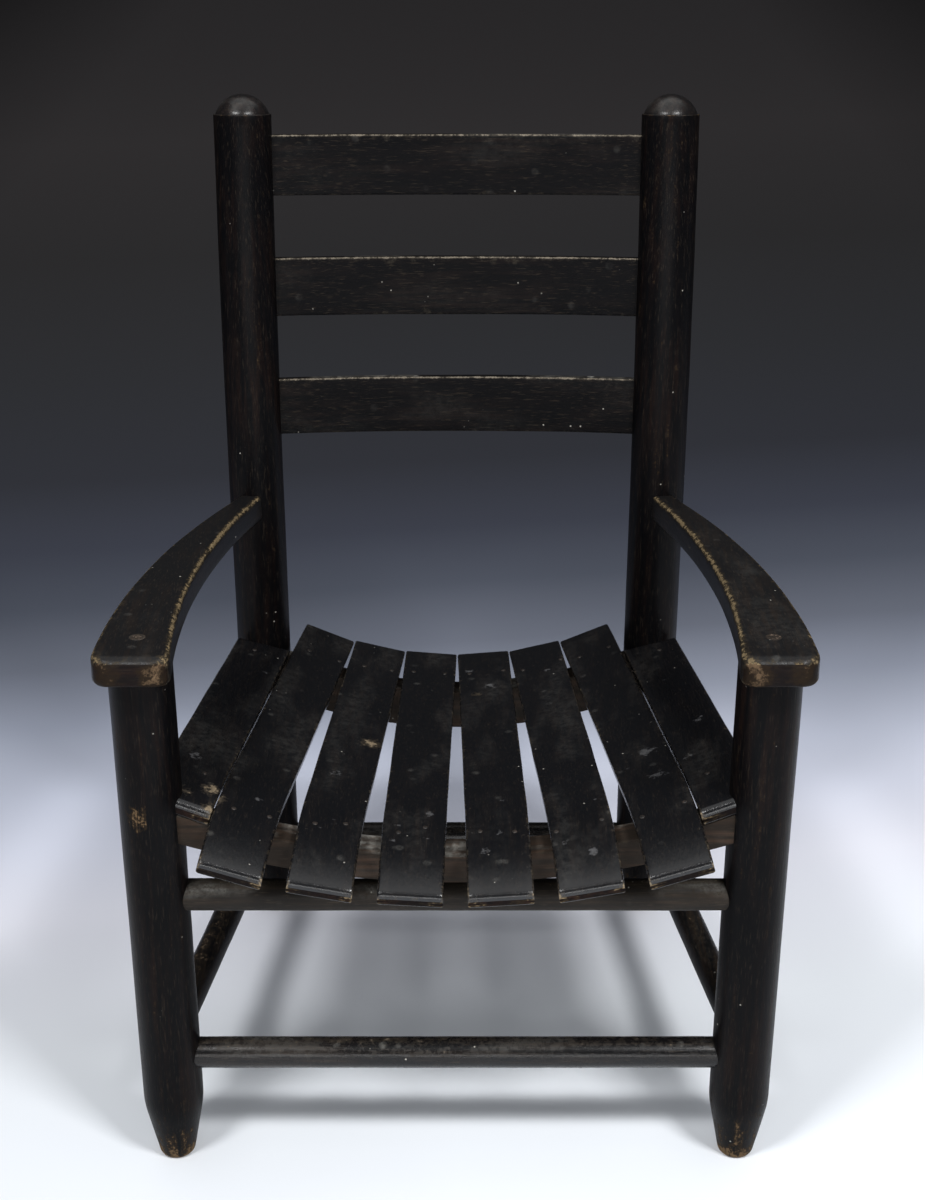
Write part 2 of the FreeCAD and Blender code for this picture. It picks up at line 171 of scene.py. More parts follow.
def aged_paint(name, grain, black, brown, bare, brown_amount, sheen, speck_amount=1.0,
               wear_streaks=0.5, dust_and_top_light=0.10, gloss=0.2, pore_amount=0.3, flaking=1.0):
    """Old black paint over stained wood; grain is the axis that the wood runs along.

    sheen is the roughness of sound paint, gloss its mirror strength, and flaking how ragged
    the rubbed places are.
    """
    paint = bpy.data.materials.new(name)
    paint.use_nodes = True
    make = node_maker(paint)
    shader = paint.node_tree.nodes["Principled BSDF"]
    place = make("ShaderNodeTexCoord").outputs["Object"]

    def along(short, long):
        scale = [short, short, short]
        scale["XYZ".index(grain)] = long
        return make("ShaderNodeMapping", {"Vector": place, "Scale": scale}).outputs["Vector"]

    streaks = make("ShaderNodeTexNoise", {"Vector": along(300, 14), "Scale": 1.0,
                                          "Detail": 6.0, "Roughness": 0.62}).outputs["Fac"]
    clouds = make("ShaderNodeTexNoise", {"Vector": along(36, 13), "Scale": 1.0,
                                         "Detail": 3.0}).outputs["Fac"]
    pores = make("ShaderNodeTexNoise", {"Vector": along(1300, 120), "Scale": 1.0,
                                        "Detail": 3.0}).outputs["Fac"]
    patches = make("ShaderNodeTexNoise", {"Vector": place, "Scale": 210.0,
                                          "Detail": 5.0, "Roughness": 0.65}).outputs["Fac"]
    # brown wood where the black is thin, and the open pores of the grain
    thin = sums(make, "MULTIPLY", ramp(make, streaks, ((0.42, 0), (0.64, 1))),
                ramp(make, clouds, ((0.38, 0.12), (0.60, 1))))
    thin = sums(make, "MULTIPLY", thin, brown_amount)
    colour = blend(make, thin, black, brown)
    open_pores = sums(make, "MULTIPLY", ramp(make, pores, ((0.58, 0), (0.70, 1))), pore_amount)
    colour = blend(make, open_pores, colour, (0.050, 0.038, 0.027))
    # grey film of dust and dried drops on what faces up; because it makes tops lighter, it is also
    # painted top light
    drops = make("ShaderNodeTexVoronoi", {"Vector": place, "Scale": 75.0})
    dust_film_and_top_light = sums(make, "MULTIPLY", ramp(make, drops.outputs["Distance"], ((0.12, 1), (0.24, 0))),
                ramp(make, drops.outputs["Color"], ((0.66, 0), (0.74, 1))))
    dust_film_and_top_light = sums(make, "MAXIMUM", dust_film_and_top_light, ramp(make, clouds, ((0.50, 0), (0.80, 0.8))))
    dust_film_and_top_light = sums(make, "MULTIPLY", dust_film_and_top_light, ramp(make, patches, ((0.40, 0.2), (0.62, 1))))
    # painted top light: the film is strongest on what faces up, so tops read lighter as if lit
    # from above
    facing_up_dust_and_light = make("ShaderNodeSeparateXYZ", {"Vector": make("ShaderNodeNewGeometry").outputs[
        "Normal"]}).outputs["Z"]
    dust_film_and_top_light = sums(make, "MULTIPLY", dust_film_and_top_light, ramp(make, facing_up_dust_and_light, ((0.2, 0.06), (0.8, 1))))
    colour = blend(make, sums(make, "MULTIPLY", dust_film_and_top_light, dust_and_top_light), colour, (0.17, 0.165, 0.15))

    # paint rubbed to brown, then to bare wood, as far as the mesh says
    wear = make("ShaderNodeAttribute", attribute_name="wear").outputs["Fac"]
    flecks = make("ShaderNodeTexNoise", {"Vector": place, "Scale": 620.0,
                                         "Detail": 4.0, "Roughness": 0.7}).outputs["Fac"]
    rub = sums(make, "ADD", wear,
               sums(make, "MULTIPLY", sums(make, "SUBTRACT", patches, 0.5), 1.2 * flaking))
    rub = sums(make, "ADD", rub,
               sums(make, "MULTIPLY", sums(make, "SUBTRACT", flecks, 0.5), flaking))
    rub = sums(make, "ADD", rub,
               sums(make, "MULTIPLY", sums(make, "SUBTRACT", streaks, 0.5), wear_streaks))
    brown_rub = ramp(make, rub, ((0.30, 0), (0.50, 1)))
    rub = ramp(make, rub, ((0.56, 0), (0.68, 1)))
    colour = blend(make, sums(make, "MULTIPLY", brown_rub, 0.8), colour,
                   tuple(0.14 * part for part in bare))
    wood = blend(make, ramp(make, streaks, ((0.35, 0), (0.7, 1))), bare,
                 tuple(0.5 * part for part in bare))
    colour = blend(make, rub, colour, wood)

    # pale scuffs and small light specks
    pale = make("ShaderNodeAttribute", attribute_name="pale").outputs["Fac"]
    smear = sums(make, "ADD", pale, sums(make, "MULTIPLY",
                                         sums(make, "SUBTRACT", patches, 0.5), 1.6))
    smear = ramp(make, smear, ((0.45, 0), (0.62, 0.16), (0.85, 0.24), (1.0, 0.75)))
    colour = blend(make, smear, colour, (0.34, 0.34, 0.35))

    dots = make("ShaderNodeTexVoronoi", {"Vector": place, "Scale": 150.0}).outputs["Distance"]
    few = make("ShaderNodeTexNoise", {"Vector": place, "Scale": 70.0}).outputs["Fac"]
    speck = sums(make, "MULTIPLY", ramp(make, dots, ((0.05, 1), (0.11, 0))),
                 ramp(make, few, ((0.61, 0), (0.67, 1))))
    speck = sums(make, "MULTIPLY", speck, 0.6 * speck_amount)
    colour = blend(make, speck, colour, (0.36, 0.34, 0.30))

    # duller where it is rubbed, with the grain in relief
    rough = sums(make, "ADD", sheen, sums(make, "MULTIPLY", patches, 0.14))
    rough = sums(make, "ADD", rough, sums(make, "MULTIPLY", rub, 0.2))
    rough = sums(make, "ADD", rough, sums(make, "MULTIPLY", brown_rub, 0.25))
    relief = sums(make, "ADD", sums(make, "MULTIPLY", streaks, 0.55),
                  sums(make, "MULTIPLY", pores, 0.45))
    relief = sums(make, "SUBTRACT", relief, sums(make, "MULTIPLY", rub, 0.5))
    bump = make("ShaderNodeBump", {"Height": relief, "Strength": 0.45, "Distance": 0.0004})
    links = paint.node_tree.links
    links.new(colour, shader.inputs["Base Color"])
    links.new(rough, shader.inputs["Roughness"])
    links.new(bump.outputs["Normal"], shader.inputs["Normal"])
    shader.inputs["Specular IOR Level"].default_value = gloss
    return paint


def leg_radius(height):
    """Radius of a post: a tapered foot with a rounded end, then full size."""
    slope = (post_radius - foot_radius) / foot_height
    blend_reach = 0.0065
    radius = min(post_radius, foot_radius + slope * height)
    gap = abs(height - foot_height)
    if gap < blend_reach:
        radius -= slope * (blend_reach - gap) ** 2 / (4 * blend_reach)
    end_round = 0.003
    if height < end_round:
        radius -= end_round - math.sqrt(end_round ** 2 - (end_round - height) ** 2)
    return radius


def post_middle(across, level, leans):
    """A post's axis point at a level, and its direction up."""
    back = front_y
    tilt = 0.0
    if leans:
        tilt = math.asin(max(0.0, level - bend_height) / bend_radius)
        back = rear_y + bend_radius * (1 - math.cos(tilt))
    return Vector((across, back, level)), Vector((0, math.sin(tilt), math.cos(tilt)))


def hoop(centre, axis, radius, count=56):
    """Ring of points about an axis."""
    sideways = Vector((1, 0, 0)) if abs(axis.x) < 0.7 else Vector((0, 0, 1))
    first = (sideways - axis * sideways.dot(axis)).normalized()
    second = axis.cross(first)
    return [centre + radius * (math.cos(turn) * first + math.sin(turn) * second)
            for turn in (step * math.tau / count for step in range(count))]


def turned_post(name, side, word, leans, top, seed):
    """Post from the floor up, with the dome on a rear one."""
    across = half_rear if leans else half_front
    sole_wear, sole_reach, foot_wear, foot_reach = 0.30, 0.010, 0.50, 0.060
    levels = [0, 0.0004, 0.001, 0.0018, 0.003]
    levels += [0.003 + step * 0.0045 for step in range(1, int((top - 0.004) / 0.0045))] + [top]
    rings, worn, marks_on = [], [], []
    if not leans and side < 0:
        marks_on = [(Vector((-across - 0.006, front_y - 0.018, 0.262)), 0.012, 0.75, "bare")]
    for level in levels:
        middle, up = post_middle(across, level, leans)
        rub = sole_wear * max(0.0, 1 - level / sole_reach)
        rub += foot_wear * max(0.0, 1 - level / foot_reach)
        rings.append(hoop(middle, up, leg_radius(level)))
        worn.append([min(1.0, rub)] * len(rings[-1]))
    if leans:
        middle, up = post_middle(across, top, True)
        ball = (dome_radius ** 2 + dome_height ** 2) / (2 * dome_height)
        half_turn = math.asin(min(1.0, dome_radius / ball))
        steps = [(0.0003, post_radius - 0.0001, 0.35), (0.0006, post_radius - 0.0005, 0.4),
                 (0.0007, dome_radius + 0.0003, 0.1), (0.0007, dome_radius, 0.0),
                 (dome_neck, dome_radius, 0.0)]
        for turn in range(1, 13):
            angle = half_turn * (1 - turn / 13)
            steps.append((dome_neck + dome_height - ball * (1 - math.cos(angle)),
                          ball * math.sin(angle), 0.1))
        for lift, radius, rub in steps:
            rings.append(hoop(middle + up * lift, up, radius))
            worn.append([rub] * len(rings[-1]))
    post = skin(name, rings, worn, side, seed, 0.0002, marks_on)
    fitted(post, ("rear_post_" if leans else "front_post_") + word, post_paint)
    if leans:
        post.data.materials.append(dome_paint)
        shoulder = middle + up * 0.0004
        for face in post.data.polygons:
            centre = Vector((side * face.center.x, face.center.y, face.center.z))
            face.material_index = 1 if (centre - shoulder).dot(up) > 0 else 0


post_paint = aged_paint("post_paint_finish", "Z",
                        black=(0.0024, 0.0024, 0.0029), brown=(0.013, 0.0066, 0.0050),
                        bare=(0.17, 0.11, 0.06),
                        brown_amount=0.5, sheen=0.28, speck_amount=1.6, wear_streaks=1.7,
                        dust_and_top_light=0.2, gloss=0.06, pore_amount=0.25)
# the grey film on the dome's top is dust and, in part, a painted reflection of the light above
dome_paint = aged_paint("dome_finish", "Z",
                        black=(0.0060, 0.0056, 0.0060), brown=(0.020, 0.012, 0.010),
                        bare=(0.17, 0.12, 0.08),
                        brown_amount=0.6, sheen=0.22, speck_amount=1.6, wear_streaks=0.5,
                        dust_and_top_light=0.5, gloss=0.36, pore_amount=0.3)
arm_under = 0.3546
for side, word in ((-1, "left"), (1, "right")):
    turned_post("front_leg_" + word, side, word, False, arm_under + 0.004, 3.1 * side)
    turned_post("rear_leg_" + word, side, word, True, shoulder_height, 5.7 * side)


# Rungs and stretchers: seven straight rods of 19.6 mm, turned from the same wood and driven
# into bores in the posts, then painted with them.  Their upper sides are rubbed by feet.
rung_radius = 0.0098
rung_reach = 0.007              # into each post
rung_top_wear = 0.36


def rod(name, node, start, end, paint, seed):
    """Turned rod from one post axis towards the other."""
    along = (end - start).normalized()
    inset = post_radius - rung_reach
    length = (end - start).length - 2 * inset
    count = int(length / 0.006)
    rings, worn = [], []
    for step in range(count + 1):
        middle = start + along * (inset + length * step / count)
        swell = rung_radius + 0.00018 * noise.noise(middle * 40 + Vector((seed, 0, 0)))
        ring = hoop(middle, along, swell, 40)
        rings.append(ring)
        worn.append([rung_top_wear * max(0.0, (point - middle).z / rung_radius)
                     for point in ring])
    fitted(skin(name, rings, worn, 1, seed), node, paint)


def axis_point(side, leans, level):
    """Point on the axis of a post."""
    return Vector((side * (half_rear if leans else half_front),
                   rear_y if leans else front_y, level))


cross_rung_paint = aged_paint("cross_rung_finish", "X",
                              black=(0.0042, 0.0040, 0.0045), brown=(0.024, 0.017, 0.013),
                              bare=(0.15, 0.115, 0.08),
                              brown_amount=0.7, sheen=0.20, speck_amount=2.0, wear_streaks=0.9,
                              dust_and_top_light=0.6, gloss=0.32, pore_amount=0.4)
side_rung_paint = aged_paint("side_rung_finish", "Y",
                             black=(0.0045, 0.0043, 0.0048), brown=(0.022, 0.014, 0.010),
                             bare=(0.14, 0.10, 0.065),
                             brown_amount=0.7, sheen=0.32, speck_amount=1.4, wear_streaks=0.9,
                             dust_and_top_light=0.15, gloss=0.12, pore_amount=0.5)
dusty_rung_paint = aged_paint("seat_rung_finish", "X",
                              black=(0.014, 0.012, 0.010), brown=(0.040, 0.028, 0.019),
                              bare=(0.17, 0.14, 0.10),
                              brown_amount=0.8, sheen=0.42, speck_amount=2.0, wear_streaks=0.9,
                              dust_and_top_light=2.2, gloss=0.12, pore_amount=0.5)
for name, leans, level, paint in (
        ("front_seat_rung", False, 0.1972, dusty_rung_paint),
        ("front_stretcher", False, 0.0777, cross_rung_paint),
        ("rear_stretcher", True, 0.0629, cross_rung_paint)):
    rod(name + "_rod", name, axis_point(-1, leans, level), axis_point(1, leans, level),
        paint, 10 * level)
for side, word in ((-1, "left"), (1, "right")):
    for name, front_level, rear_level in (("side_seat_rung_", 0.226, 0.217),
                                          ("side_stretcher_", 0.087, 0.079)):
        rod(name + word + "_rod", name + word, axis_point(side, False, front_level),
            axis_point(side, True, rear_level), side_rung_paint, 20 * front_level * side)


# Seat rails: two sawn boards, hollowed along the top to the dish of the seat and tenoned into the
# posts.  Their paint is thin, dusty on top with painted top light that leaves the front face
# darker, and rubbed to brown wood where the slats leave gaps.
front_rail_top = 0.2310
front_dish = 0.495
rear_dish = 0.305
rear_rail_top = front_rail_top - 0.0345
rear_rail_forward = 0.008
rail_corner = 0.0012
rail_wear = 0.35
nose_bend = 0.253
rail_span = post_depth - rear_rail_forward
seat_fall = (rail_span - math.sqrt(rail_span ** 2 - 2 * nose_bend * 0.0345)) / nose_bend


def rounded_bar(centre, across, up, width, height, corner, wear_edges=1.0):
    """Ring round a bar's section from its lower left corner, and how worn each point is."""
    ring, worn = [], []
    half_width, half_height = width / 2 - corner, height / 2 - corner
    turns = ((-1, -1, 180), (1, -1, 270), (1, 1, 0), (-1, 1, 90))
    for number, (right, above, start) in enumerate(turns):
        for step in range(5):
            angle = math.radians(start + 22.5 * step)
            ring.append(centre + across * (right * half_width + corner * math.cos(angle))
                        + up * (above * half_height + corner * math.sin(angle)))
            arris = (0.35, 0.75, 1.0, 0.75, 0.35)[step]
            worn.append(wear_edges * arris * (1.0 if above > 0 else 0.8))
        following = turns[(number + 1) % 4]
        flat = 12 if number % 2 == 0 else 4
        start_point = ring[-1]
        end_angle = math.radians(following[2])
        end_point = (centre + across * (following[0] * half_width + corner * math.cos(end_angle))
                     + up * (following[1] * half_height + corner * math.sin(end_angle)))
        reach = (end_point - start_point).length
        for step in range(1, flat):
            share = step / flat
            ring.append(start_point.lerp(end_point, share))
            edge = min(share, 1 - share) * reach
            worn.append(wear_edges * 0.25 * max(0.0, 1 - edge / 0.004))
    return ring, worn


def dished_rail(name, node, radius, depth, half_length, thickness, top, middle_y, fall):
    """Sawn rail with its hollowed top, from post to post."""
    rings, worn = [], []
    for step in range(61):
        x = half_length * (step / 30 - 1)
        upper = top + radius - math.sqrt(radius ** 2 - x ** 2)
        lower = top + radius - math.sqrt((radius + depth) ** 2 - x ** 2)
        centre = Vector((x, middle_y, (upper + lower) / 2))
        ring, marks = rounded_bar(centre, Vector((0, -1, fall)), Vector((0, 0, 1)),
                                  thickness, upper - lower, rail_corner, rail_wear)
        rings.append(ring)
        worn.append(marks)
    piece = skin(name, rings, worn, 1, 4.0, 0.0002)
    fitted(piece, node, rail_paint)


# the heavy grey film on the top is dust and painted top light, which leaves the front face darker
# as painted shade
rail_paint = aged_paint("rail_paint_finish", "X",
                        black=(0.018, 0.014, 0.011), brown=(0.050, 0.030, 0.020),
                        bare=(0.17, 0.14, 0.10),
                        brown_amount=0.9, sheen=0.50, speck_amount=1.5, wear_streaks=0.5,
                        dust_and_top_light=3.4, gloss=0.06, pore_amount=0.3)
dished_rail("front_rail_board", "front_seat_rail", front_dish, 0.019, half_front - 0.014, 0.020,
            front_rail_top, front_y, 0.0)
dished_rail("rear_rail_board", "rear_seat_rail", rear_dish, 0.030, half_rear - 0.012, 0.022,
            rear_rail_top, rear_y - rear_rail_forward, seat_fall)


# Seat slats: eight strips of 38 by 9.4 mm, steamed so that their front ends bend down over the
# front rail, laid to fan out from the rear and nailed to both rails.  The outer two are notched
# round the front posts.  The paint is worn through along their edges and scuffed by use.
slat_width = 0.0384
slat_thickness = 0.0094
slat_front_gap = 0.0128
slat_rear_gap = 0.0035
side_slat_gap = 0.0014
nose_overhang = 0.056
rear_overhang = 0.0365
side_slat_rear_tilt = math.radians(13)


def from_rail_to_rail(front_value, rear_value, back):
    """Value at a distance behind the front axes, straight from the front rail to the rear."""
    return front_value + back / rail_span * (rear_value - front_value)


def seat_level(back):
    """Underside of the seat over the middle line."""
    bend_end = min(back, nose_bend * seat_fall)
    return front_rail_top - bend_end ** 2 / (2 * nose_bend) - seat_fall * (back - bend_end)


def inner_place(place, back):
    """Middle of an inner slat's underside and the direction across it."""
    radius = from_rail_to_rail(front_dish, rear_dish, max(0.0, back))
    pitch = from_rail_to_rail(slat_width + slat_front_gap, slat_width + slat_rear_gap, back)
    angle = place * pitch / radius
    lift = slat_width ** 2 / (8 * radius) + 0.0002
    x = (radius - lift) * math.sin(angle)
    z = seat_level(back) + radius - (radius - lift) * math.cos(angle)
    return Vector((x, front_y + back, z)), Vector((math.cos(angle), 0, math.sin(angle)))


def outer_place(place, back):
    """The same for an outer slat, which lies against its neighbour whatever its place."""
    neighbour, across = inner_place(2.5, back)
    reach = 2.5 * (slat_width + slat_front_gap) + slat_width + side_slat_gap
    tilt = from_rail_to_rail(reach / front_dish, side_slat_rear_tilt, max(0.0, back))
    outwards = Vector((math.cos(tilt), 0, math.sin(tilt)))
    edge = neighbour + across * (slat_width / 2 + side_slat_gap)
    return edge + outwards * (slat_width / 2), outwards


def slat_frame(placed, place, front_end, rear_end, back):
    """Middle, across and up directions of a bent slat at a distance behind the front axes."""
    plan = placed(place, rear_end)[0] - placed(place, front_end)[0]
    plan.z = 0
    plan.normalize()
    middle, across = placed(place, back)
    ahead = (placed(place, back + 0.001)[0] - placed(place, back - 0.001)[0]).normalized()
    square = Vector((plan.y * across.x, -plan.x * across.x, across.z)).normalized()
    return middle, square, square.cross(ahead).normalized()


def bent_slat(name, side, placed, place, front_end, rear_end, seed, scuffs):
    """Bent slat from its rounded nose to its rear end.

    scuffs are (distance behind the front axes, offset across, radius, strength, kind).
    """
    nose_round, end_round = 0.0042, 0.0012
    arris_wear, arris_change, nose_wear, nose_reach = 0.36, 0.14, 0.16, 0.035
    lip_wear, crown_wear, lip_reach, most_wear = 0.24, 0.16, 0.003, 0.9
    ends = [0.0, 0.0003, 0.0008, 0.0015, 0.0024, 0.0034, 0.0045]
    length = rear_end - front_end
    count = int(length / 0.0042)
    steps = ends + [0.0045 + (length - 0.0060) * step / count for step in range(1, count + 1)]
    steps += [length - 0.0007, length - 0.0002, length]
    rings, worn = [], []
    for step in steps:
        back = front_end + step
        middle, square, up = slat_frame(placed, place, front_end, rear_end, back)
        cut_top = cut_low = 0.0
        if step < nose_round:
            cut_top = nose_round - math.sqrt(nose_round ** 2 - (nose_round - step) ** 2)
        if step < end_round:
            cut_low = end_round - math.sqrt(end_round ** 2 - (end_round - step) ** 2)
        rear_left = length - step
        if rear_left < end_round:
            cut_top = end_round - math.sqrt(end_round ** 2 - (end_round - rear_left) ** 2)
            cut_low = cut_top
        uneven = 0.0003 * noise.noise(Vector((back * 30, seed, 7)))
        height = slat_thickness - cut_top - cut_low
        centre = middle + up * (cut_low + height / 2)
        corner = 0.0015 + 0.0006 * noise.noise(Vector((back * 45, seed, 3)))
        edge_wear = arris_wear + arris_change * noise.noise(Vector((back * 18, seed, 5)))
        edge_wear += nose_wear * max(0.0, 1 - step / nose_reach)
        ring, marks = rounded_bar(centre, square, up, slat_width + uneven, height, corner,
                                  edge_wear)
        at_nose = max(0.0, 1 - step / lip_reach)
        rings.append(ring)
        worn.append([min(most_wear, mark + at_nose * (lip_wear if point.z < centre.z
                                                      else crown_wear))
                     for mark, point in zip(marks, ring)])
    marks_on = []
    for back, offset, radius, strength, kind in scuffs:
        middle, square, up = slat_frame(placed, place, front_end, rear_end, back)
        point = middle + square * offset + up * slat_thickness
        marks_on.append((Vector((side * point.x, point.y, point.z)), radius, strength, kind))
    slat = skin(name, rings, worn, side, seed, 0.00015, marks_on)
    slat.data.materials.append(seat_paint)
    slat.data.materials.append(end_grain)
    middle = slat_frame(placed, place, front_end, rear_end, front_end)[0]
    for face in slat.data.polygons:
        at_front = len(face.vertices) == 3 and face.center.y < middle.y + 0.01
        face.material_index = 1 if at_front else 0
    return slat


seat_paint = aged_paint("seat_paint_finish", "Y",
                        black=(0.0040, 0.0043, 0.0054), brown=(0.012, 0.009, 0.008),
                        bare=(0.24, 0.18, 0.11),
                        brown_amount=0.5, sheen=0.17, speck_amount=1.8, wear_streaks=0.5,
                        dust_and_top_light=0.20, gloss=0.56, pore_amount=0.2)
end_grain = aged_paint("slat_end_finish", "Y",
                       black=(0.0060, 0.0045, 0.0045), brown=(0.030, 0.014, 0.010),
                       bare=(0.24, 0.18, 0.11),
                       brown_amount=0.8, sheen=0.5, speck_amount=1.0, wear_streaks=0.5, dust_and_top_light=0.1,
                       gloss=0.03, pore_amount=0.2)
seat_scuffs = {
    "left_1": ((0.022, -0.009, 0.006, 0.80, "pale"), (-0.006, -0.007, 0.006, 0.75, "pale"),
               (0.006, 0.010, 0.005, 0.75, "pale"), (-0.010, 0.012, 0.005, 0.70, "pale")),
    "left_2": ((0.128, -0.012, 0.013, 0.80, "bare"), (0.004, -0.002, 0.005, 0.75, "pale"),
               (-0.004, 0.006, 0.004, 0.70, "pale"), (0.070, 0.004, 0.009, 0.72, "pale")),
    "left_3": ((0.004, 0.019, 0.008, 0.80, "bare"), (0.014, -0.003, 0.005, 0.75, "pale"),
               (0.004, 0.004, 0.004, 0.75, "pale"), (-0.008, -0.004, 0.004, 0.70, "pale")),
    "left_outer": ((0.014, -0.014, 0.010, 0.95, "bare"), (-0.006, -0.017, 0.009, 0.90, "bare"),
                   (0.004, 0.000, 0.007, 0.80, "bare"), (0.210, -0.011, 0.006, 0.70, "pale"),
                   (0.050, 0.004, 0.011, 0.74, "pale")),
    "right_1": ((-0.018, -0.007, 0.007, 0.85, "pale"), (0.278, -0.011, 0.008, 0.80, "pale"),
                (0.228, -0.007, 0.006, 0.80, "bare"), (0.244, 0.003, 0.009, 0.78, "pale"),
                (0.000, 0.001, 0.005, 0.75, "pale"), (0.040, 0.004, 0.004, 0.70, "pale")),
    "right_2": ((-0.016, -0.011, 0.005, 1.10, "pale"), (-0.028, 0.005, 0.006, 1.15, "pale"),
                (0.028, 0.013, 0.005, 0.80, "pale"), (0.262, 0.004, 0.006, 0.75, "pale")),
    "right_3": ((0.082, 0.005, 0.012, 0.76, "pale"), (0.044, 0.005, 0.012, 0.74, "pale"),
                (0.064, -0.010, 0.006, 0.60, "pale"), (0.020, -0.014, 0.005, 0.60, "pale")),
    "right_outer": ((0.110, 0.006, 0.010, 0.74, "pale"), (0.060, -0.012, 0.008, 0.72, "pale"),
                    (0.190, -0.002, 0.005, 0.70, "pale")),
}
for side, word in ((-1, "left"), (1, "right")):
    for number in (1, 2, 3):
        place_name = "%s_%d" % (word, number)
        slat = bent_slat("slat_" + place_name, side, inner_place, number - 0.5, -nose_overhang,
                         post_depth + rear_overhang, 2.3 * number * side,
                         seat_scuffs[place_name])
        fitted(slat, "seat_slat_" + place_name)
    slat = bent_slat("slat_%s_outer" % word, side, outer_place, 3.5, -0.010,
                     post_depth - post_radius - 0.0002, 9.1 * side, seat_scuffs[word + "_outer"])
    fitted(slat, "seat_slat_%s_outer" % word)


# Back slats: three strips of 40 by 6.6 mm, steamed to a shallow bow and let into mortises in the
# leaning posts.  Their upper edges are rounded by hands and show a worn line, made stronger on top
# than below as a painted highlight along the top edge.
slat_bow = 0.009
back_slat_height = 0.0398
back_slat_thickness = 0.0066
back_slat_corner = 0.0017
back_slat_wear = 0.46
back_slat_reach = 0.008         # into each post
back_paint = aged_paint("back_slat_finish", "X",
                        black=(0.0040, 0.0040, 0.0046), brown=(0.013, 0.009, 0.008),
                        bare=(0.21, 0.18, 0.14),
                        brown_amount=0.5, sheen=0.34, speck_amount=1.5, wear_streaks=0.5,
                        dust_and_top_light=1.2, gloss=0.035, pore_amount=0.3, flaking=0.7)
back_scuffs = {             # distance along, height from the middle, radius, strength
    "top": ((0.020, -0.019, 0.005, 0.45), (-0.046, 0.019, 0.005, 0.45)),
    "middle": ((-0.044, 0.0185, 0.006, 0.55), (-0.030, 0.0185, 0.006, 0.50),
               (0.026, 0.0185, 0.006, 0.50), (0.040, 0.0185, 0.006, 0.50),
               (-0.050, -0.0185, 0.007, 0.50), (-0.020, -0.0185, 0.008, 0.50)),
    "bottom": ((0.085, 0.012, 0.004, 0.95), (0.103, 0.012, 0.004, 0.95),
               (-0.060, 0.0185, 0.006, 0.45)),
}
for word, level, seed in (("top", 0.5750, 1.0), ("middle", 0.4942, 2.0), ("bottom", 0.4106, 3.0)):
    tilt = math.asin((level - bend_height) / bend_radius)
    up = Vector((0, math.sin(tilt), math.cos(tilt)))
    bow_back = Vector((0, math.cos(tilt), -math.sin(tilt)))
    axis_middle = Vector((0, rear_y + bend_radius * (1 - math.cos(tilt)), level))
    bend = (half_rear ** 2 + slat_bow ** 2) / (2 * slat_bow)
    reach = math.asin((half_rear - post_radius + back_slat_reach) / bend)
    rings, worn = [], []
    for step in range(73):
        angle = reach * (step / 36 - 1)
        outwards = Vector((math.sin(angle), 0, 0)) + bow_back * math.cos(angle)
        centre = axis_middle + bow_back * (slat_bow - bend) + outwards * bend
        ring, marks = rounded_bar(centre, -outwards, up, back_slat_thickness,
                                  back_slat_height, back_slat_corner, back_slat_wear)
        rings.append(ring)
        # the upper edge is worn half as much again as the lower: real wear and a painted highlight
        # along the top
        worn.append([mark * (1.5 if (point - centre).dot(up) > 0 else 1.0)
                     for mark, point in zip(marks, ring)])
    marks_on = []
    for across, lift, radius, strength in back_scuffs[word]:
        angle = across / bend
        outwards = Vector((math.sin(angle), 0, 0)) + bow_back * math.cos(angle)
        point = axis_middle + bow_back * (slat_bow - bend) + outwards * bend
        marks_on.append((point - outwards * back_slat_thickness / 2 + up * lift, radius,
                         strength, "bare"))
    slat = skin("back_%s_slat" % word, rings, worn, 1, seed, 0.0002, marks_on)
    fitted(slat, "back_slat_" + word, back_paint)


# Arms: two sawn boards of 18 mm, wide over the front posts and narrow where a round tenon enters
# the rear posts.  Forearms have rounded their edges and rubbed the paint off them to pale wood.
arm_thickness = 0.0184
arm_slope = math.radians(4.6)
arm_overhang = 0.037
arm_front_width = 0.0454
arm_rear_width = 0.0142
arm_front_shift = 0.0002
arm_paint = aged_paint("arm_finish", "Y",
                       black=(0.0078, 0.0078, 0.0084), brown=(0.020, 0.013, 0.009),
                       bare=(0.195, 0.142, 0.075),
                       brown_amount=0.5, sheen=0.27, speck_amount=1.9, wear_streaks=0.5,
                       dust_and_top_light=0.16, gloss=0.2, pore_amount=0.3)


arm_end_paint = aged_paint("arm_end_finish", "X",
                           black=(0.0060, 0.0045, 0.0045), brown=(0.013, 0.0066, 0.0054),
                           bare=(0.13, 0.085, 0.050),
                           brown_amount=1.0, sheen=0.36, speck_amount=1.0, wear_streaks=0.3,
                           dust_and_top_light=0.1, gloss=0.06, pore_amount=0.2, flaking=0.45)


def arm_edge_line(direction, bow, count):
    """Points along a curved edge of the right arm, as (x, distance behind the front axes)."""
    front = Vector((half_front - arm_front_shift + direction * arm_front_width / 2,
                    -arm_overhang))
    rear = Vector((half_rear + direction * arm_rear_width / 2, post_depth - post_radius / 2))
    chord = rear - front
    radius = (chord.length ** 2 / 4 + bow ** 2) / (2 * bow)
    out = Vector((chord.y, -chord.x)).normalized()
    centre = (front + rear) / 2 - out * (radius - bow)
    start = front - centre
    turn = start.angle_signed(rear - centre)
    return [centre + Matrix.Rotation(-turn * step / count, 2) @ start for step in range(count + 1)]


def on_arm(x, back, height):
    """Point of the level arm, tipped to its slope about the front axes."""
    return Vector((x, front_y + back * math.cos(arm_slope) + height * math.sin(arm_slope),
                   arm_under - back * math.sin(arm_slope) + height * math.cos(arm_slope)))


def edge_at(line, back):
    """Where an edge line crosses a distance behind the front axes."""
    for first, second in zip(line, line[1:]):
        if first.y <= back <= second.y:
            return first.x + (second.x - first.x) * (back - first.y) / (second.y - first.y)
    return line[-1].x if back > line[-1].y else line[0].x


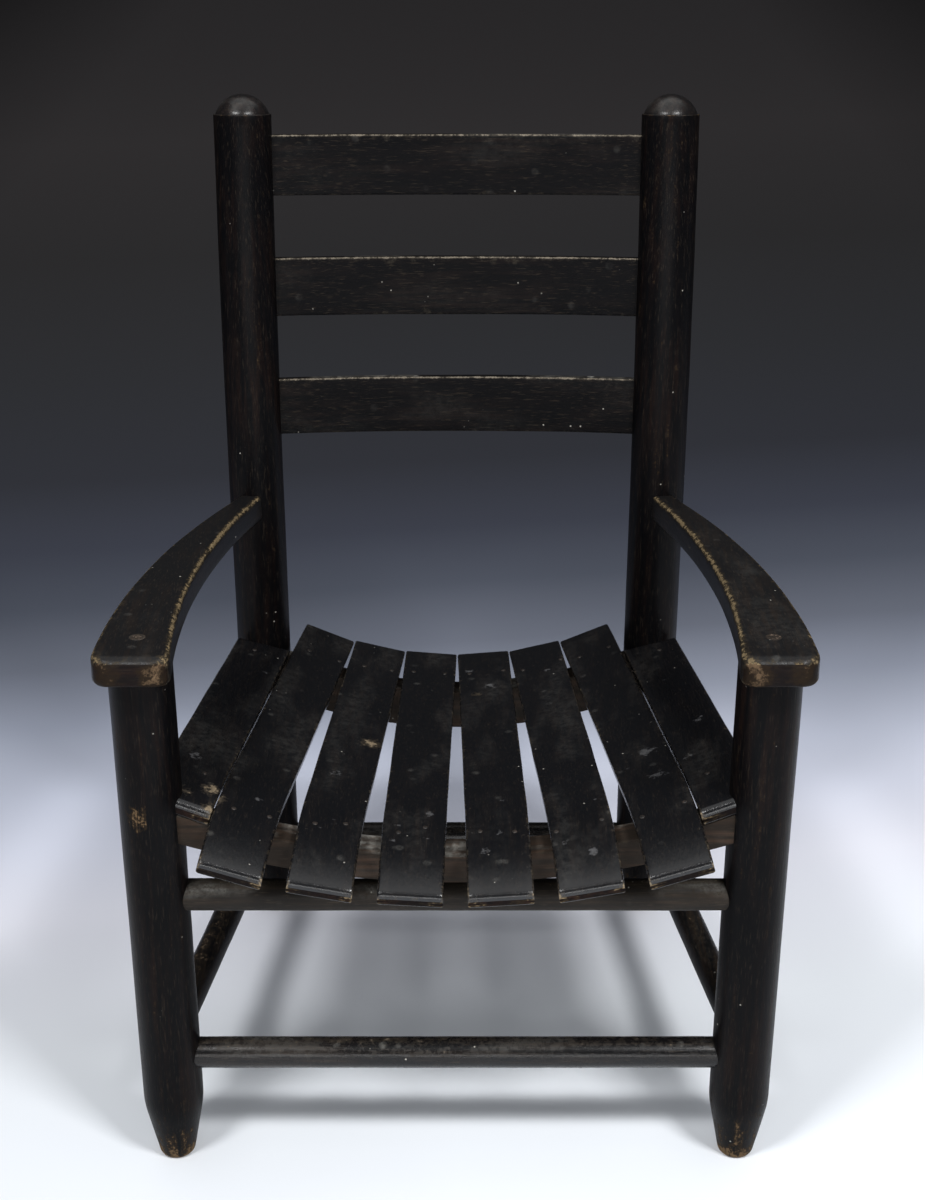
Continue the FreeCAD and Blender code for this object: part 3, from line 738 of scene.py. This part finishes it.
def arm_board(side, word):
    """Arm with rounded front corners, and edges worn round."""
    outer = arm_edge_line(1, 0.0168, 60)
    inner = arm_edge_line(-1, 0.0151, 60)
    front_end = -arm_overhang
    rear_end = min(outer[-1].y, inner[-1].y)
    corner = 0.0115
    edge = 0.0075
    face_wear, crown_wear, lip_wear = 0.24, 0.14, 0.20
    outer_wear, inner_wear, corner_reach = 0.28, 0.40, 0.010
    inner_line, outer_line, side_line = 0.70, 0.56, 0.48
    ends = [0.0, 0.0002, 0.0006, 0.0012, 0.002, 0.003, 0.0042, 0.0056, 0.0075, 0.0095, 0.0115]
    steps = [front_end + step for step in ends]
    steps += [front_end + corner + (rear_end - front_end - corner) * step / 66
              for step in range(1, 67)]
    rings, worn = [], []
    for back in steps:
        step = back - front_end
        pull = draw = 0.0
        if step < corner:
            pull = corner - math.sqrt(corner ** 2 - (corner - step) ** 2)
        if step < edge:
            draw = edge - math.sqrt(edge ** 2 - (edge - step) ** 2)
        left, right = edge_at(inner, back) + pull, edge_at(outer, back) - pull
        low, high = 0.45 * draw, arm_thickness - draw
        centre = on_arm((left + right) / 2, back, (low + high) / 2)
        up = on_arm(0, 0, 1) - on_arm(0, 0, 0)
        front_rub = max(0.0, 1 - step / 0.012)
        ring, marks = rounded_bar(centre, Vector((1, 0, 0)), up, right - left, high - low,
                                  min(0.0034 + 0.002 * front_rub, (high - low) * 0.32), 1.0)
        rings.append(ring)
        row = []
        for mark, point in zip(marks, ring):
            along_arm = side_line * mark
            if point.z > centre.z:
                along_arm = (inner_line if point.x < centre.x else outer_line) * mark
            lift = (point - on_arm(point.x, back, 0)).length / arm_thickness
            at_front = face_wear + crown_wear * max(0.0, 1 - abs(lift - 0.80) / 0.16)
            at_front += lip_wear * max(0.0, 1 - lift / 0.12)
            at_front += outer_wear * max(0.0, 1 - (right - point.x) / corner_reach)
            at_front += inner_wear * max(0.0, 1 - (point.x - left) / corner_reach)
            row.append(along_arm * (1 - front_rub) + at_front * front_rub)
        worn.append(row)
    board = skin("arm_board_" + word, rings, worn, side, 6.0 * side, 0.0002)
    fitted(board, "arm_" + word, arm_paint)
    board.data.materials.append(arm_end_paint)
    for face in board.data.polygons:
        back = face.center.y - front_y
        lift = (face.center.z - arm_under + back * math.sin(arm_slope)) / arm_thickness
        face.material_index = 1 if back < front_end + 0.006 and lift < 0.80 else 0


for side, word in ((-1, "left"), (1, "right")):
    arm_board(side, word)


# Arm dowels: a 9.6 mm pin is driven down through each arm into its front post and pared off a
# little proud.  Its end grain shows lighter than the paint around it.
dowel_radius = 0.0048
dowel_forward = 0.003
dowel_paint = aged_paint("dowel_finish", "Z",
                         black=(0.022, 0.018, 0.015), brown=(0.055, 0.038, 0.027),
                         bare=(0.13, 0.095, 0.070),
                         brown_amount=1.0, sheen=0.40, speck_amount=1.0, wear_streaks=0.5,
                         dust_and_top_light=0.4, gloss=0.2, pore_amount=0.5)
for side, word in ((-1, "left"), (1, "right")):
    up = on_arm(0, 0, 1) - on_arm(0, 0, 0)
    rings, worn = [], []
    for height, radius, rub in ((0.006, dowel_radius, 0), (arm_thickness, dowel_radius, 0),
                                (arm_thickness + 0.00015, dowel_radius - 0.0003, 0.3),
                                (arm_thickness + 0.00025, dowel_radius - 0.0010, 0.45),
                                (arm_thickness + 0.00030, dowel_radius - 0.0024, 0.55)):
        rings.append(hoop(on_arm(half_front, -dowel_forward, height), up, radius, 32))
        worn.append([rub] * 32)
    fitted(skin("dowel_end_" + word, rings, worn, side, 2.0, 0.00005), "arm_dowel_" + word,
           dowel_paint)


# Nails: small wrought heads, sunk nearly flush and painted over, hold each slat to both rails.
nail_radius = 0.0017
nail_from_middle = 0.0115       # across the slat
nail_from_rail = 0.001          # behind or in front of each rail's middle
nail_stray = 0.010              # most that a nail strays from its place
nail_iron = bpy.data.materials.new("nail_iron")
nail_iron.use_nodes = True
make = node_maker(nail_iron)
spots = make("ShaderNodeTexNoise", {"Vector": make("ShaderNodeTexCoord").outputs["Object"],
                                    "Scale": 900.0, "Detail": 3.0}).outputs["Fac"]
shader = nail_iron.node_tree.nodes["Principled BSDF"]
rust = blend(make, ramp(make, spots, ((0.4, 0), (0.65, 1))), (0.007, 0.007, 0.007),
             (0.035, 0.024, 0.018))
nail_iron.node_tree.links.new(rust, shader.inputs["Base Color"])
nail_iron.node_tree.links.new(sums(make, "ADD", 0.3, sums(make, "MULTIPLY", spots, 0.4)),
                              shader.inputs["Roughness"])


def nail(name, side, placed, place, front_end, rear_end, back, offset):
    """Nail head on the top of a slat, offset across it from its middle."""
    middle, square, up = slat_frame(placed, place, front_end, rear_end, back)
    seat = middle + square * offset + up * (slat_thickness - 0.0006)
    rings = [hoop(seat + up * lift, up, radius, 16)
             for lift, radius in ((0.0, nail_radius), (0.0008, nail_radius),
                                  (0.0010, nail_radius * 0.8), (0.0011, nail_radius * 0.4))]
    head = skin(name, rings, [[0.0] * 16] * 4, side, 1.0, 0.00004)
    head.data.materials.append(nail_iron)
    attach(head, "root")


for side, word in ((-1, "left"), (1, "right")):
    for number in (1, 2, 3):
        for row, back in ((1, nail_from_rail), (2, rail_span - nail_from_rail)):
            for across in (-1, 1):
                spread = Vector((number * 3.37 * side, row * 5.13, across * 1.7))
                shift = nail_stray * noise.noise(spread)
                nail("nail_%s_%d_%d_%s" % (word, number, row, "in" if across < 0 else "out"),
                     side, inner_place, number - 0.5, -nose_overhang,
                     post_depth + rear_overhang, back + shift,
                     across * nail_from_middle + shift)
    nail("nail_%s_outer_1" % word, side, outer_place, 3.5, -0.010,
         post_depth - post_radius, 0.030, -0.006)
    nail("nail_%s_outer_2" % word, side, outer_place, 3.5, -0.010,
         post_depth - post_radius, 0.245, 0.004)


# Picture: the chair stands on a white floor whose colour falls off to dark grey behind it, a
# painted fall of light, and is painted darker at the left and at the far sides as painted shade.
# A wide lamp above, a smaller one at each side and a low strip in front light it, in a dark room.
floor_mesh = bpy.data.meshes.new("floor")
floor_rings = [0.0, 0.4, 0.8, 1.2, 1.8, 3.0, 6.0, 14.0]
floor_points = [(0, -0.5, 0)]
floor_faces = []
for ring_radius in floor_rings[1:]:
    for step in range(48):
        angle = step * math.tau / 48
        floor_points.append((ring_radius * math.cos(angle),
                             -0.5 + ring_radius * math.sin(angle), 0))
for step in range(48):
    floor_faces.append((0, 1 + step, 1 + (step + 1) % 48))
    for row in range(len(floor_rings) - 2):
        near, far = 1 + 48 * row, 49 + 48 * row
        floor_faces.append((near + step, far + step, far + (step + 1) % 48,
                            near + (step + 1) % 48))
floor_mesh.from_pydata(floor_points, [], floor_faces)
floor = bpy.data.objects.new("floor", floor_mesh)
bpy.context.collection.objects.link(floor)

floor_paper = bpy.data.materials.new("floor_paper")
floor_paper.use_nodes = True
make = node_maker(floor_paper)
links = floor_paper.node_tree.links
spot = make("ShaderNodeTexCoord").outputs["Object"]
depth = make("ShaderNodeVectorMath", {0: spot, 1: (-0.16, 1.0, 0.0)}, operation="DOT_PRODUCT")
far_share = sums(make, "DIVIDE", depth.outputs["Value"], 3.0)
painted_falloff_ramp = make("ShaderNodeValToRGB", {"Fac": far_share})
band = painted_falloff_ramp.color_ramp
# painted fall of light: the floor's colour goes from near white by the chair to dark grey far
# behind
painted_falloff_stops = ((0.0, (0.89, 0.925, 0.97)), (0.06, (0.84, 0.85, 0.93)), (0.093, (0.69, 0.715, 0.82)),
          (0.123, (0.53, 0.56, 0.66)), (0.163, (0.31, 0.335, 0.41)),
          (0.203, (0.163, 0.178, 0.222)), (0.25, (0.086, 0.096, 0.125)),
          (0.30, (0.053, 0.058, 0.079)), (0.37, (0.038, 0.040, 0.050)),
          (0.50, (0.040, 0.041, 0.046)), (0.70, (0.046, 0.044, 0.045)),
          (1.0, (0.070, 0.063, 0.063)))
while len(band.elements) < len(painted_falloff_stops):
    band.elements.new(0.5)
for element, (place, shade) in zip(band.elements, painted_falloff_stops):
    element.position = place
    element.color = (*shade, 1)
sideways = make("ShaderNodeSeparateXYZ", {"Vector": spot}).outputs["X"]
# painted shade: the floor near the chair is darker towards the left
painted_left_shade = sums(make, "MULTIPLY", ramp(make, far_share, ((0.05, 1), (0.12, 0))),
                 ramp(make, sums(make, "ADD", sideways, 0.5), ((0.1, 0.18), (0.5, 0))))
# painted shade: the floor darkens towards the far sides, a painted vignette
painted_side_vignette = ramp(make, sums(make, "MULTIPLY", sums(make, "ABSOLUTE", sideways, 0.0), 0.5),
                 ((0.42, 1), (0.68, 0.55)))
painted_dimming = sums(make, "MULTIPLY", sums(make, "SUBTRACT", 1.0, painted_left_shade), painted_side_vignette)
# the floor's colour goes to black behind the camera, so that the chair reflects dark there
ahead = ramp(make, sums(make, "ADD", far_share, 1.0), ((0.35, 0.05), (0.58, 1)))
painted_dimming = sums(make, "MULTIPLY", painted_dimming, ahead)
floor_colour_with_painted_shade = blend(make, painted_dimming, (0, 0, 0), painted_falloff_ramp.outputs["Color"])
shader = floor_paper.node_tree.nodes["Principled BSDF"]
links.new(floor_colour_with_painted_shade, shader.inputs["Base Color"])
shader.inputs["Roughness"].default_value = 0.9
shader.inputs["Specular IOR Level"].default_value = 0.1
floor_mesh.materials.append(floor_paper)

world = bpy.data.worlds.new("room")
bpy.context.scene.world = world
world.use_nodes = True
make = node_maker(world)
room = world.node_tree.nodes["Background"]
paths = make("ShaderNodeLightPath")
seen = sums(make, "MAXIMUM", paths.outputs["Is Camera Ray"], paths.outputs["Is Glossy Ray"])
room_colour = blend(make, seen, (0.34, 0.35, 0.37), (0.030, 0.030, 0.032))
world.node_tree.links.new(room_colour, room.inputs["Color"])
room.inputs["Strength"].default_value = 0.8


def soft_lamp(name, place, target, width, depth, watts):
    """Large area lamp aimed at a point."""
    data = bpy.data.lights.new(name, "AREA")
    data.shape = "RECTANGLE"
    data.size = width
    data.size_y = depth
    data.energy = watts
    lamp = bpy.data.objects.new(name, data)
    lamp.location = place
    aim = (Vector(target) - Vector(place)).to_track_quat("-Z", "Y")
    lamp.rotation_mode = "QUATERNION"
    lamp.rotation_quaternion = aim
    bpy.context.collection.objects.link(lamp)


soft_lamp("ceiling_lamp", (0.0, 0.35, 2.3), (0, 0.2, 0.3), 2.4, 2.0, 13)
soft_lamp("left_lamp", (-0.75, -0.98, 1.75), (0, 0, 0.25), 0.38, 0.26, 17.5)
soft_lamp("right_lamp", (0.75, -0.98, 1.75), (0, 0, 0.25), 0.38, 0.26, 22.5)
soft_lamp("front_lamp", (0.0, -1.90, 0.42), (0, 0, 0.25), 1.8, 0.40, 11)

camera = bpy.data.cameras.new("camera")
camera.sensor_width = 36.0
camera.lens = 58.5
eye = bpy.data.objects.new("camera", camera)
eye.location = (0.004, front_y - 0.9985, 0.8685)
eye.rotation_euler = (math.radians(90 - 25.33), 0, 0)
bpy.context.collection.objects.link(eye)
bpy.context.scene.camera = eye
bpy.context.scene.view_settings.view_transform = "Standard"
